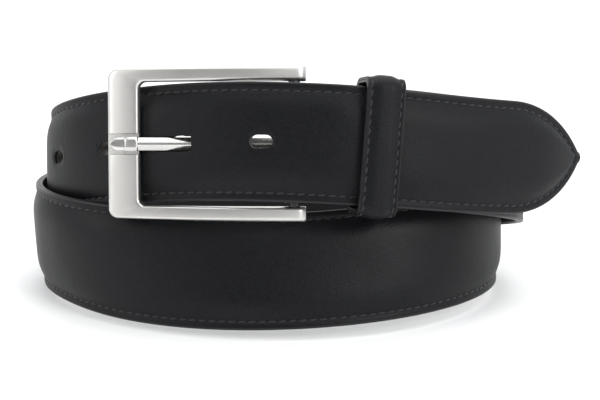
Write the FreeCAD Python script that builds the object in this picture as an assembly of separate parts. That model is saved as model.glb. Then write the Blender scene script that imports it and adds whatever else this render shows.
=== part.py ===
import FreeCAD, Part
import math
import os

# A gentlemen's dress belt, buckled and coiled into a closed loop of two turns. Millimetres, +Z up.
# The strap is a ribbon that follows one formula. The turn angle u starts at the buckle's cross bar:
# the outer pass is 0 to 2 pi, the inner pass 2 pi to 4 pi, and past 4 pi the tip lies over the start.

# ---- driving dimensions: the coil ----
COIL_HALF_WIDTH = 76.5
COIL_HALF_DEPTH = 58.0
SIDE_FLATTENING = 0.037
FRONT_FLATTENING = 0.045
SKEW_WIDTH = 0.038
SKEW_DEPTH = 0.045
PASS_OFFSET = 5.0            # how far each pass stands off the middle line between the two passes
PASS_PHASE = 0.28
TURN_RISE = 16.5             # the tiers part at the front and cross at the back
TURN_RISE_THIRD = 3.0
RISE_PHASE = 0.084
FRONT_DENT_LEAN = 0.18       # the lower turn leans in behind the keeper
SHOULDER_LEAN = 0.155        # and out beside the front bar, where the upper turn sits inside it
STANDING_TILT = 10.5         # degrees; brings the lower turn down flat
ORIGIN_SHIFT = (-10.47, 0.56, 29.23)

# ---- driving dimensions: the strap ----
STRAP_WIDTH = 35.0
INNER_FACE = -2.0
EDGE_TOP = 0.3
CROWN_RISE = 1.7
LEATHER = 1.1
LAYER_GAP = 0.2
SEAM_MARGIN = 2.5
TIP_LENGTH = 32.0
TIP_END_HALF_WIDTH = 0.8
HOLE_LENGTH = 7.0
HOLE_WIDTH = 4.0
HOLE_SPACING = 25.4
HOLE_COUNT = 5
FIRST_HOLE_BEFORE_BAR = 9.4
TURNED_END_LENGTH = 44.0
STATION_STEP = 0.13
FINE_STEP = 0.045            # over the fold and where the tip lifts

# ---- driving dimensions: buckle, prong and keeper ----
U_BAR = 0.165                # turn angle of the cross bar
U_FRONT_BAR = -0.577         # turn angle under the middle of the front bar
BAR_RADIUS = 1.75
FOLD_CLEARANCE = 0.30
FOLD_SEAM = 0.65             # where the straight leather meets the fold
FRONT_BAR_STANDOFF = 5.35
FRAME_OPENING = 37.2
FRAME_OPENING_AT_FRONT = 36.8
FRAME_HEIGHT = 46.4
FRAME_HEIGHT_AT_FRONT = 44.6
FRAME_THICKNESS = 3.2
FRAME_BOW = 2.6
FRAME_DROP = 0.45            # the level frame sits this much below the strap's middle at the bar
FRONT_BAR_WIDTH = 9.8
ARM_OVERHANG = 3.4
RECESS_WIDTH = 6.2
RECESS_DEPTH = 0.9
PRONG_WIDTH = 4.0
PRONG_THICKNESS = 2.6
PRONG_RING_WALL = 1.3
PRONG_RING_WIDTH = 5.2
PRONG_BORE_CLEARANCE = 0.08
ROCK_AND_LIFT = 3.0          # degrees of room for the frame's rock and the prong's lift together
U_KEEPER = 0.49
KEEPER_WIDTH = 11.5
KEEPER_INSIDE = (-3.9, 7.1)
KEEPER_CORNER = 2.0
REST_GAP = 0.2               # between the prong and the floor of its recess
FLAP_INSET = 0.8
KEEPER_HALF_HEIGHT = 18.6
LIFT_OVER_BAR = 3.4
LIFT_OVER_CROWN = 1.1
U_LEAVE = 0.70               # turn angle where the tip leaves the strap under it
TAIL_LENGTH = 61.6
TAIL_RADIUS = 180.0
TAIL_END_SLOPE = 0.02

HALF = STRAP_WIDTH / 2.0
FULL = 4.0 * math.pi
V = FreeCAD.Vector


# ---- the coil's formula ----
def coil_point(u):
    """Middle of the strap at turn angle u."""
    r = PASS_OFFSET * math.sin(u / 2.0 + PASS_PHASE)
    wide = math.sin(u) - SIDE_FLATTENING * math.sin(3.0 * u) - SKEW_WIDTH * math.cos(2.0 * u)
    deep = math.cos(u) - FRONT_FLATTENING * math.cos(3.0 * u) + SKEW_DEPTH * math.sin(2.0 * u)
    rise = TURN_RISE * math.cos((u + RISE_PHASE) / 2.0)
    rise += TURN_RISE_THIRD * math.cos(1.5 * (u + RISE_PHASE))
    return V((COIL_HALF_WIDTH + r) * wide, -(COIL_HALF_DEPTH + r) * deep, rise)


def smooth(value):
    """0 to 1 with level ends."""
    t = min(1.0, max(0.0, value))
    return t * t * (3.0 - 2.0 * t)


def lean_at(u):
    """Angle by which the strap's top leans outward."""
    dent = math.exp(-((u - 2.0 * math.pi - 0.20) / 0.70) ** 2)
    shoulder = math.exp(-((u - 2.0 * math.pi + 1.05) / 0.45) ** 2)
    return SHOULDER_LEAN * shoulder - FRONT_DENT_LEAN * dent


def axes_from(point_at, u, lean):
    """Run, up and outward directions of a ribbon that follows point_at."""
    e = 0.001
    run = (point_at(u + e) - point_at(u - e)).normalize()
    up = V(0, 0, 1) - run * run.z
    up.normalize()
    out = run.cross(up)
    return run, up * math.cos(lean) + out * math.sin(lean), out * math.cos(lean) - up * math.sin(lean)


def tip_lift(u):
    """How far the tip end stands off the pass under it: none at the front bar, full past the bar."""
    over_bar = LIFT_OVER_BAR * smooth((u - FULL + 0.75) / 0.90)
    over_crown = LIFT_OVER_CROWN * smooth((u - FULL - U_BAR + 0.02) / 0.22)
    return over_bar + over_crown


def lifted_point(u):
    out = axes_from(coil_point, u, lean_at(u))[2]
    return coil_point(u) + out * tip_lift(u)


LEAVE_RUN, LEAVE_UP, LEAVE_OUT = axes_from(lifted_point, FULL + U_LEAVE, 0.0)
LEAVE_POINT = lifted_point(FULL + U_LEAVE)
LEAVE_SPEED = (lifted_point(FULL + U_LEAVE + 0.001) - LEAVE_POINT).Length / 0.001
U_END = FULL + U_LEAVE + TAIL_LENGTH / LEAVE_SPEED


def strap_point(u):
    """Middle of the strap, the tip's own gentle arc included."""
    if u <= FULL + U_LEAVE:
        return lifted_point(u)
    s = (u - FULL - U_LEAVE) * LEAVE_SPEED
    turn = s / TAIL_RADIUS
    slope = LEAVE_RUN.z + (TAIL_END_SLOPE - LEAVE_RUN.z) * s / (2.0 * TAIL_LENGTH)
    flat = V(LEAVE_RUN.x, LEAVE_RUN.y, 0).normalize()
    side = V(LEAVE_OUT.x, LEAVE_OUT.y, 0).normalize()
    plan = flat * (TAIL_RADIUS * math.sin(turn)) - side * (TAIL_RADIUS * (1.0 - math.cos(turn)))
    return LEAVE_POINT + plan + V(0, 0, slope * s)


def strap_axes(u):
    return axes_from(strap_point, u, lean_at(u))


def place(u, w, n):
    """Point at height w and outward distance n in the strap's section at u."""
    run, up, out = strap_axes(u)
    return strap_point(u) + up * w + out * n


def walk(u, distance):
    """Turn angle a distance along the strap from u."""
    steps = 40
    for _ in range(steps):
        speed = (strap_point(u + 0.001) - strap_point(u - 0.001)).Length / 0.002
        u += distance / steps / speed
    return u


# ---- the strap's section ----
def half_width(u):
    """Half of the strap's width: full, then the pointed arch of the tip."""
    to_end = (U_END - u) * LEAVE_SPEED
    if to_end >= TIP_LENGTH:
        return HALF
    radius = (TIP_LENGTH ** 2 + HALF ** 2) / STRAP_WIDTH
    arch = HALF - radius + math.sqrt(radius ** 2 - (TIP_LENGTH - max(to_end, 0.0)) ** 2)
    return max(TIP_END_HALF_WIDTH, arch)


U_CROWN_START = walk(U_BAR, 3.0)
U_CROWN_FULL = walk(U_BAR, 16.0)


def crown(u, w):
    """Rise of the padded middle over the sewn margin."""
    inside = max(half_width(u) - SEAM_MARGIN, 0.1)
    share = min(1.0, abs(w) / inside)
    near_bar = smooth((u - U_CROWN_START) / (U_CROWN_FULL - U_CROWN_START))
    near_tip = smooth((half_width(u) - SEAM_MARGIN) / (HALF - SEAM_MARGIN))
    return CROWN_RISE * near_bar * near_tip * (1.0 - share ** 6) ** 2


def outer_top(u, w):
    return EDGE_TOP + crown(u, w)


def outer_bottom(u, w):
    return EDGE_TOP - LEATHER + crown(u, w)


def lining_top(u, w):
    return EDGE_TOP - LEATHER - LAYER_GAP


def lining_bottom(u, w):
    return INNER_FACE


def core_top(u, w):
    return outer_bottom(u, w) - LAYER_GAP


def core_bottom(u, w):
    return lining_top(u, w) + LAYER_GAP


# ---- building solids ----
def surface_through(rows):
    surface = Part.BSplineSurface()
    surface.interpolate(rows)
    return surface


def side_between(first, second):
    return Part.makeRuledSurface(first.toShape(), second.toShape())


def ends_of(surface):
    u0, u1, v0, v1 = surface.bounds()
    return [surface.uIso(u0), surface.uIso(u1), surface.vIso(v0), surface.vIso(v1)]


def solid_between(top, bottom):
    """Closed solid between two grids of points."""
    upper = surface_through(top)
    lower = surface_through(bottom)
    faces = [upper.toShape(), lower.toShape()]
    faces += [side_between(a, b) for a, b in zip(ends_of(upper), ends_of(lower))]
    shell = Part.makeShell(faces)
    shell.sewShape()
    solid = Part.makeSolid(shell)
    if solid.Volume < 0:
        solid.reverse()
    return solid


def stations(start, end, step=STATION_STEP):
    count = max(2, int(math.ceil((end - start) / step)) + 1)
    return [start + (end - start) * i / (count - 1) for i in range(count)]


def strap_stations(start, end):
    """Stations along the strap, taken from one list so that the layers run alike."""
    near = U_BAR + 0.45
    lift = FULL - 0.85
    shared = stations(walk(U_BAR, FOLD_SEAM), near, FINE_STEP)
    shared += stations(near, lift)[1:]
    shared += stations(lift, U_END - TIP_LENGTH / LEAVE_SPEED, FINE_STEP)[1:]
    return [u for u in shared if start - 0.001 < u < end + 0.001]


def tip_stations(inset):
    """Stations along the strap, closing up towards the tip."""
    u_arch = U_END - TIP_LENGTH / LEAVE_SPEED
    arch = [U_END - inset - (U_END - u_arch) * (1.0 - math.sin(i * math.pi / 24.0)) for i in range(1, 13)]
    return arch, u_arch


def band(places, low_share, high_share, inset, top, bottom, across=25):
    """Layer of the strap over the stations, between two shares of its half width."""
    top_rows = []
    bottom_rows = []
    for u in places:
        reach = half_width(u) - inset
        shares = [low_share + (high_share - low_share) * j / (across - 1.0) for j in range(across)]
        top_rows.append([place(u, reach * k, top(u, reach * k)) for k in shares])
        bottom_rows.append([place(u, reach * k, bottom(u, reach * k)) for k in shares])
    return solid_between(top_rows, bottom_rows)


def strap_layer(start, inset, top, bottom, end_gap=0.0):
    arch, u_arch = tip_stations(end_gap)
    return band(strap_stations(start, u_arch) + arch, -1.0, 1.0, inset, top, bottom)


def box_at(origin, axes, low, high):
    """Block between two corners in a local frame of three directions."""
    block = Part.makeBox(high[0] - low[0], high[1] - low[1], high[2] - low[2], V(*low))
    return to_frame(block, origin, axes)


def to_frame(shape, origin, axes):
    """Move a shape drawn along local x, y, z to the frame with those directions."""
    x, y, z = axes
    matrix = FreeCAD.Matrix(x.x, y.x, z.x, origin.x, x.y, y.y, z.y, origin.y,
                            x.z, y.z, z.z, origin.z, 0, 0, 0, 1)
    moved = shape.copy()
    moved.transformShape(matrix)
    return moved


def stadium(length, width, depth):
    """Oval punch along local x, lying across local z."""
    straight = (length - width) / 2.0
    core = Part.makeBox(2.0 * straight, width, depth, V(-straight, -width / 2.0, -depth / 2.0))
    ends = [Part.makeCylinder(width / 2.0, depth, V(x, 0, -depth / 2.0)) for x in (-straight, straight)]
    return core.fuse(ends).removeSplitter()


# ---- local frames of the moving parts ----
BAR_RUN, BAR_UP, BAR_OUT = strap_axes(U_BAR)
BAR_SINK = EDGE_TOP - LEATHER - FOLD_CLEARANCE - BAR_RADIUS
BAR_CENTRE = coil_point(U_BAR) + BAR_OUT * BAR_SINK
BAR_CENTRE = BAR_CENTRE - V(0, 0, FRAME_DROP)
FRONT_OUT = axes_from(coil_point, U_FRONT_BAR, 0.0)[2]
FRONT_CENTRE = coil_point(U_FRONT_BAR) + FRONT_OUT * FRONT_BAR_STANDOFF
FRONT_CENTRE.z = BAR_CENTRE.z
FRAME_LONG = (FRONT_CENTRE - BAR_CENTRE).normalize()
FRAME_REACH = (FRONT_CENTRE - BAR_CENTRE).Length
FRAME_UP = FRAME_LONG.cross(BAR_OUT).normalize()
FRAME_OUT = FRAME_UP.cross(FRAME_LONG)
FRAME_AXES = (FRAME_LONG, FRAME_UP, FRAME_OUT)
FRAME_LEFT = FRAME_REACH + FRONT_BAR_WIDTH / 2.0

KEEPER_RUN, KEEPER_UP, KEEPER_OUT = axes_from(coil_point, U_KEEPER, 0.0)
KEEPER_CENTRE = coil_point(U_KEEPER)
KEEPER_AXES = (KEEPER_RUN, KEEPER_UP, KEEPER_OUT)


# ---- the leather strap ----
def hole_angles():
    first = walk(FULL + U_BAR, -FIRST_HOLE_BEFORE_BAR)
    return [walk(first, -HOLE_SPACING * i) for i in range(HOLE_COUNT)]


def hole_punches():
    punches = []
    for u in hole_angles():
        run, up, out = strap_axes(u)
        punch = stadium(HOLE_LENGTH, HOLE_WIDTH, 8.0)
        punches.append(to_frame(punch, strap_point(u), (run, up, out)))
    return punches


def prong_rise(x):
    """Outward distance of the prong's middle from the frame's long axis, x from the bar."""
    rest = FRAME_THICKNESS / 2.0 - RECESS_DEPTH + REST_GAP + PRONG_THICKNESS / 2.0
    return rest * x / (FRAME_REACH - FRONT_BAR_WIDTH / 2.0)


def frame_bow(x):
    """Outward bow of the frame's middle surface."""
    t = x / FRAME_REACH
    return FRAME_BOW * 4.0 * t * (1.0 - t)


def prong_passage():
    """Room cut through the strap for the prong, from behind it to its face, with its lift."""
    clear = 0.35
    lift = math.tan(math.radians(ROCK_AND_LIFT))
    start = 10.0
    end = FRAME_LEFT + 4.0
    side = [V(start, 0, prong_rise(start) - PRONG_THICKNESS / 2.0 - clear),
            V(end, 0, prong_rise(end) - PRONG_THICKNESS / 2.0 - clear),
            V(end, 0, prong_rise(end) + PRONG_THICKNESS / 2.0 + clear + end * lift),
            V(start, 0, prong_rise(start) + PRONG_THICKNESS / 2.0 + clear + start * lift)]
    face = Part.Face(Part.makePolygon(side + side[:1]))
    width = PRONG_WIDTH + 2.0 * clear
    block = face.extrude(V(0, width, 0))
    block.translate(V(0, -width / 2.0, 0))
    return to_frame(block, BAR_CENTRE, FRAME_AXES)


def prong_slot():
    """Slot through the fold for the prong's ring."""
    half = PRONG_RING_WIDTH / 2.0 + 0.5
    over_face = EDGE_TOP - BAR_SINK + 0.9
    return box_at(BAR_CENTRE, (BAR_RUN, BAR_UP, BAR_OUT), (-8.0, -half, -9.0), (7.5, half, over_face))


def fold_round_bar():
    """Leather turned round the cross bar."""
    inner = BAR_RADIUS + FOLD_CLEARANCE
    outer = inner + LEATHER
    ring = Part.makeCylinder(outer, STRAP_WIDTH).cut(Part.makeCylinder(inner, STRAP_WIDTH))
    half = Part.makeBox(outer * 1.5, outer * 4.0, STRAP_WIDTH, V(-outer * 1.5, -outer * 2.0, 0))
    fold = ring.common(half)
    fold.translate(V(0, 0, -HALF))
    return to_frame(fold, BAR_CENTRE, (FRAME_UP.cross(BAR_OUT), -BAR_OUT, FRAME_UP))


U_FLAP_RISE = walk(U_BAR, 1.8)
U_FLAP_FLAT = walk(U_BAR, 13.0)


def flap_outer(u, w):
    """Face of the turned end that lies against the lining."""
    reach = smooth((u - U_FLAP_RISE) / (U_FLAP_FLAT - U_FLAP_RISE))
    start = BAR_SINK - BAR_RADIUS - FOLD_CLEARANCE
    return start + (INNER_FACE - LAYER_GAP - start) * reach


def flap_inner(u, w):
    return flap_outer(u, w) - LEATHER


def strap_outer_leather():
    body = strap_layer(walk(U_BAR, FOLD_SEAM), 0.0, outer_top, outer_bottom)
    body = body.cut(hole_punches() + [prong_passage(), prong_slot()])
    flap_places = stations(walk(U_BAR, FOLD_SEAM), walk(U_BAR, TURNED_END_LENGTH), 0.03)
    flap = band(flap_places, -1.0, 1.0, FLAP_INSET, flap_outer, flap_inner, 5)
    flap = flap.cut(prong_slot())
    fold = fold_round_bar().cut(prong_slot())
    return Part.makeCompound(body.Solids + fold.Solids + flap.Solids)


def strap_lining():
    layer = strap_layer(walk(U_BAR, 5.0), 0.15, lining_top, lining_bottom, 0.002)
    return layer.cut(hole_punches() + [prong_passage(), prong_slot()])


def strap_padding_core():
    end = U_END - 0.62 * TIP_LENGTH / LEAVE_SPEED
    start = walk(U_BAR, 12.0)
    core = band(strap_stations(start, end), -0.8, 0.8, SEAM_MARGIN, core_top, core_bottom)
    return core.cut(hole_punches() + [prong_passage(), prong_slot()])


def seam(sign):
    """Thread along one edge, from the fold to the tip."""
    places = strap_stations(walk(U_BAR, 1.0), U_END - TIP_LENGTH / LEAVE_SPEED)
    places += tip_stations(0.0)[0][:-5]
    top = []
    bottom = []
    for u in places:
        middle = half_width(u) - SEAM_MARGIN
        marks = [sign * (middle + side) for side in (-0.25, 0.0, 0.25)]
        top.append([place(u, w, EDGE_TOP + 0.44) for w in marks])
        bottom.append([place(u, w, EDGE_TOP + 0.18) for w in marks])
    return solid_between(top, bottom)


def turned_end_stitching():
    """Two rows of thread across the strap that hold the turned end."""
    rows = []
    for distance in (9.5, TURNED_END_LENGTH - 3.0):
        start = walk(U_BAR, distance)
        end = walk(start, 0.5)
        for low, high in ((-0.95, -0.25), (0.25, 0.95)):
            rows.append(band([start, end], low, high, SEAM_MARGIN,
                             lambda u, w: outer_top(u, w) + 0.22,
                             lambda u, w: outer_top(u, w) + 0.08, 5))
    return Part.makeCompound(rows)


# ---- the buckle ----
def arc_through(points):
    return Part.Arc(*points).toShape()


def frame_side_profile():
    """Bowed band that the frame is cut from, seen along the cross bar."""
    half = FRAME_THICKNESS / 2.0
    right = -ARM_OVERHANG
    left = FRAME_LEFT
    middle = (left + right) / 2.0
    outer = [V(x, 0, frame_bow(x) + half) for x in (right, middle, left)]
    inner = [V(x, 0, frame_bow(x) - half) for x in (left, middle, right)]
    wire = Part.Wire([arc_through(outer), Part.makeLine(outer[2], inner[0]),
                      arc_through(inner), Part.makeLine(inner[2], outer[0])])
    return Part.Face(wire)


def tapered_plate(length, width, far_width, corner):
    """Thick plate that narrows from the cross bar to its far end, with two rounded corners there."""
    depth = 30.0
    near = width / 2.0
    far = far_width / 2.0
    outline = [V(-30, -near, -depth / 2.0), V(0, -near, -depth / 2.0), V(length, -far, -depth / 2.0),
               V(length, far, -depth / 2.0), V(0, near, -depth / 2.0), V(-30, near, -depth / 2.0)]
    plate = Part.Face(Part.makePolygon(outline + outline[:1])).extrude(V(0, 0, depth))
    uprights = [e for e in plate.Edges if e.BoundBox.XMin > length - 0.01 and e.BoundBox.ZLength > depth / 2.0]
    return plate.makeFillet(corner, uprights)


def buckle_frame():
    band_solid = frame_side_profile().extrude(V(0, FRAME_HEIGHT, 0))
    band_solid.translate(V(0, -FRAME_HEIGHT / 2.0, 0))
    opening_end = FRAME_REACH - FRONT_BAR_WIDTH / 2.0
    opening = tapered_plate(opening_end, FRAME_OPENING, FRAME_OPENING_AT_FRONT, 2.2)
    outline = tapered_plate(FRAME_LEFT, FRAME_HEIGHT, FRAME_HEIGHT_AT_FRONT, 2.8)
    frame = band_solid.cut(opening).common(outline)
    recess_floor = FRAME_THICKNESS / 2.0 - RECESS_DEPTH
    recess = Part.makeBox(FRONT_BAR_WIDTH + 6.0, RECESS_WIDTH, 6.0,
                          V(opening_end - 3.0, -RECESS_WIDTH / 2.0, recess_floor))
    frame = frame.cut(recess)
    pins = [bar_tenon(sign) for sign in (-1, 1)]
    return to_frame(frame.cut(pins), BAR_CENTRE, FRAME_AXES)


def bar_tenon(sign):
    start = sign * FRAME_OPENING / 2.0
    return Part.makeCylinder(1.1, 2.6, V(0, start, 0), V(0, sign, 0))


def buckle_cross_bar():
    bar = Part.makeCylinder(BAR_RADIUS, FRAME_OPENING, V(0, -FRAME_OPENING / 2.0, 0), V(0, 1, 0))
    bar = bar.fuse([bar_tenon(sign) for sign in (-1, 1)]).removeSplitter()
    return to_frame(bar, BAR_CENTRE, FRAME_AXES)


def prong_section(x, width, thickness):
    """Flat-bottomed bar with two long bevels, as a wire across the prong at x."""
    half = width / 2.0
    mid = prong_rise(x)
    low = mid - thickness / 2.0
    shoulder = mid + thickness * 0.08
    high = mid + thickness / 2.0
    ridge = width * 0.14
    outline = [V(x, -half, low), V(x, half, low), V(x, half, shoulder), V(x, ridge, high),
               V(x, -ridge, high), V(x, -half, shoulder)]
    return Part.makePolygon(outline + outline[:1])


def prong():
    free_end = FRAME_LEFT - 1.4
    places = [(1.5, PRONG_WIDTH, PRONG_THICKNESS), (free_end - 3.0, PRONG_WIDTH, PRONG_THICKNESS),
              (free_end - 1.0, PRONG_WIDTH * 0.86, PRONG_THICKNESS * 0.92),
              (free_end, PRONG_WIDTH * 0.45, PRONG_THICKNESS * 0.6)]
    shank = Part.makeLoft([prong_section(*entry) for entry in places], True, True)
    inner = BAR_RADIUS + PRONG_BORE_CLEARANCE
    outer = inner + PRONG_RING_WALL
    half = PRONG_RING_WIDTH / 2.0
    ring = Part.makeCylinder(outer, 2.0 * half, V(0, -half, 0), V(0, 1, 0))
    bore = Part.makeCylinder(inner, 4.0 * half, V(0, -2.0 * half, 0), V(0, 1, 0))
    return to_frame(ring.fuse(shank).cut(bore), BAR_CENTRE, FRAME_AXES)


# ---- the keeper loop ----
def keeper_path(offset):
    """Rounded rectangle round the straps, offset outward from the keeper's inside."""
    low, high = KEEPER_INSIDE
    corner = KEEPER_CORNER + offset
    u_half = KEEPER_HALF_HEIGHT + offset
    n0 = low - offset
    n1 = high + offset
    k = corner * (1.0 - math.sqrt(0.5))
    edges = [Part.makeLine(V(0, -u_half, n0 + corner), V(0, -u_half, n1 - corner)),
             arc_through([V(0, -u_half, n1 - corner), V(0, -u_half + k, n1 - k), V(0, -u_half + corner, n1)]),
             Part.makeLine(V(0, -u_half + corner, n1), V(0, u_half - corner, n1)),
             arc_through([V(0, u_half - corner, n1), V(0, u_half - k, n1 - k), V(0, u_half, n1 - corner)]),
             Part.makeLine(V(0, u_half, n1 - corner), V(0, u_half, n0 + corner)),
             arc_through([V(0, u_half, n0 + corner), V(0, u_half - k, n0 + k), V(0, u_half - corner, n0)]),
             Part.makeLine(V(0, u_half - corner, n0), V(0, -u_half + corner, n0)),
             arc_through([V(0, -u_half + corner, n0), V(0, -u_half + k, n0 + k), V(0, -u_half, n0 + corner)])]
    return Part.Wire(edges)


def keeper_ring(profile):
    """Sweep a closed profile, drawn as (along the belt, off the inside), round the keeper."""
    start = KEEPER_HALF_HEIGHT
    n0 = KEEPER_INSIDE[0] + KEEPER_CORNER
    wire = Part.makePolygon([V(x, -start - y, n0) for x, y in profile + profile[:1]])
    ring = keeper_path(0.0).makePipeShell([wire], True, False)
    if ring.Volume < 0:
        ring.reverse()
    return ring


KEEPER_LINING = 0.7
KEEPER_LEATHER = 0.9
KEEPER_CROWN = 0.55


def keeper_arch(base, rise, reach):
    """Points of a low arch across the keeper, from one side to the other."""
    shares = [-1.0, -0.75, -0.45, 0.0, 0.45, 0.75, 1.0]
    return [(reach * k, base + rise * (1.0 - k * k)) for k in shares]


def keeper_outer_leather():
    half = KEEPER_WIDTH / 2.0
    low = KEEPER_LINING + 0.1
    inner_arch = keeper_arch(low, KEEPER_CROWN, half - 2.0)
    outer_arch = keeper_arch(low + KEEPER_LEATHER, KEEPER_CROWN, half - 2.0)
    profile = [(-half, low)] + inner_arch + [(half, low), (half, low + KEEPER_LEATHER)]
    profile += list(reversed(outer_arch)) + [(-half, low + KEEPER_LEATHER)]
    ring = to_frame(keeper_ring(profile), KEEPER_CENTRE, KEEPER_AXES)
    return ring.cut(staple_legs(0.08))


def keeper_padding():
    low = KEEPER_LINING + 0.1
    reach = KEEPER_WIDTH / 2.0 - 2.9
    arch = keeper_arch(low - 0.02, KEEPER_CROWN - 0.28, reach)
    profile = [(-reach, low - 0.06)] + [(reach, low - 0.06)] + list(reversed(arch))
    ring = to_frame(keeper_ring(profile), KEEPER_CENTRE, KEEPER_AXES)
    return ring.cut(staple_legs(0.08))


def keeper_lining():
    half = KEEPER_WIDTH / 2.0 - 0.1
    profile = [(-half, 0.0), (half, 0.0), (half, KEEPER_LINING), (-half, KEEPER_LINING)]
    ring = to_frame(keeper_ring(profile), KEEPER_CENTRE, KEEPER_AXES)
    return ring.cut(staple_legs(0.08))


def keeper_seam(side):
    """Thread along one long edge of the keeper."""
    base = KEEPER_LINING + 0.1 + KEEPER_LEATHER
    middle = side * (KEEPER_WIDTH / 2.0 - 1.3)
    profile = [(middle - 0.25, base + 0.05), (middle + 0.25, base + 0.05),
               (middle + 0.25, base + 0.3), (middle - 0.25, base + 0.3)]
    return to_frame(keeper_ring(profile), KEEPER_CENTRE, KEEPER_AXES)


def staple_legs(clear):
    low = KEEPER_INSIDE[0] - KEEPER_LINING - KEEPER_LEATHER - KEEPER_CROWN - 1.0
    legs = [box_at(KEEPER_CENTRE, KEEPER_AXES, (-0.4 - clear, y - 0.4 - clear, low),
                   (0.4 + clear, y + 0.4 + clear, KEEPER_INSIDE[0] + 0.5)) for y in (-4.0, 4.0)]
    return Part.makeCompound(legs)


def keeper_staple():
    """Wire staple that joins the keeper's ends behind the belt."""
    face = KEEPER_INSIDE[0] - KEEPER_LINING - 0.1 - KEEPER_LEATHER - KEEPER_CROWN - 0.05
    crown_bar = box_at(KEEPER_CENTRE, KEEPER_AXES, (-0.4, -4.4, face - 0.6), (0.4, 4.4, face))
    legs = [box_at(KEEPER_CENTRE, KEEPER_AXES, (-0.4, y - 0.4, face - 0.3),
                   (0.4, y + 0.4, KEEPER_INSIDE[0] - 0.1)) for y in (-4.0, 4.0)]
    return crown_bar.fuse(legs).removeSplitter()


# ---- standing the belt up and writing the parts ----
def stand(shape):
    """Tilt the coil so that its lower turn lies flat, and move it to the origin."""
    placed = shape.copy()
    placed.rotate(V(0, 0, 0), V(1, 0, 0), -STANDING_TILT)
    placed.translate(V(*ORIGIN_SHIFT))
    return placed


NODES = {
    "strap_outer_leather": strap_outer_leather,
    "strap_padding_core": strap_padding_core,
    "strap_lining": strap_lining,
    "strap_stitching_upper": lambda: seam(1),
    "strap_stitching_lower": lambda: seam(-1),
    "turned_end_stitching": turned_end_stitching,
    "buckle_frame": buckle_frame,
    "buckle_cross_bar": buckle_cross_bar,
    "prong": prong,
    "keeper_outer_leather": keeper_outer_leather,
    "keeper_padding": keeper_padding,
    "keeper_lining": keeper_lining,
    "keeper_stitching_left": lambda: keeper_seam(-1),
    "keeper_stitching_right": lambda: keeper_seam(1),
    "keeper_staple": keeper_staple,
}

if __name__ == "__main__":
    os.makedirs("parts", exist_ok=True)
    for name, build in NODES.items():
        shape = stand(build())
        shape.exportStep("parts/%s.step" % name)
        box = shape.BoundBox
        print("%-24s solids %d valid %s volume %9.1f  x %.2f %.2f y %.2f %.2f z %.2f %.2f" % (
            name, len(shape.Solids), shape.isValid(), shape.Volume,
            box.XMin, box.XMax, box.YMin, box.YMax, box.ZMin, box.ZMax))
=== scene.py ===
import math
import bpy
import numpy as np
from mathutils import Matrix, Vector

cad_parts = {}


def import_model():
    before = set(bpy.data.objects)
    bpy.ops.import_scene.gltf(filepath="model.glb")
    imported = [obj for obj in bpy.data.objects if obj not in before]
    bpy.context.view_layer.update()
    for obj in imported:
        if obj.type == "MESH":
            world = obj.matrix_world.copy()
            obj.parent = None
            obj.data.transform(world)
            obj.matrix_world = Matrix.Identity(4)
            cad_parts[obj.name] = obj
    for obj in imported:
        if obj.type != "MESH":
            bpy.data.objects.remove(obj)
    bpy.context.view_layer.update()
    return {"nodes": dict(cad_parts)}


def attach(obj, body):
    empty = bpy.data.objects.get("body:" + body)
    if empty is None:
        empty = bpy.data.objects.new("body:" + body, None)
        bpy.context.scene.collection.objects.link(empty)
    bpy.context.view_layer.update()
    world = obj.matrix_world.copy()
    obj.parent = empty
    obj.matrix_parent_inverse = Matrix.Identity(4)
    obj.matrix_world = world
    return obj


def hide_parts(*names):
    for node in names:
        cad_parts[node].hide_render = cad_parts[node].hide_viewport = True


# A gentlemen's dress belt, buckled and coiled into two turns: the visible leather, thread and metal.
# The strap follows the same formula as its CAD solids. Lengths here are millimetres in the coil's own
# frame; world() tilts the coil onto its lower edge and turns them into the row frame's metres.

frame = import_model()
NODES = frame["nodes"]

# ---- the coil, as in the CAD ----
COIL_HALF_WIDTH, COIL_HALF_DEPTH = 76.5, 58.0
SIDE_FLATTENING, FRONT_FLATTENING = 0.037, 0.045
SKEW_WIDTH, SKEW_DEPTH = 0.038, 0.045
PASS_OFFSET, PASS_PHASE = 5.0, 0.28
TURN_RISE, TURN_RISE_THIRD, RISE_PHASE = 16.5, 3.0, 0.084
FRONT_DENT_LEAN, SHOULDER_LEAN = 0.18, 0.155
STANDING_TILT = math.radians(-10.5)
ORIGIN_SHIFT = np.array((-10.47, 0.56, 29.23))

HALF = 17.5
INNER_FACE, EDGE_TOP = -2.0, 0.3
CROWN_RISE, LEATHER, SEAM_MARGIN = 1.7, 1.1, 2.5
TIP_LENGTH = 32.0
HOLE_LENGTH, HOLE_WIDTH, HOLE_SPACING, HOLE_COUNT = 7.0, 4.0, 25.4, 5
FIRST_HOLE_BEFORE_BAR = 9.4
TURNED_END_LENGTH = 44.0
FLAP_INSET = 0.8
LIFT_OVER_BAR, LIFT_OVER_CROWN = 3.4, 1.1
U_LEAVE, TAIL_LENGTH, TAIL_RADIUS, TAIL_END_SLOPE = 0.70, 61.6, 180.0, 0.02

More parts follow.
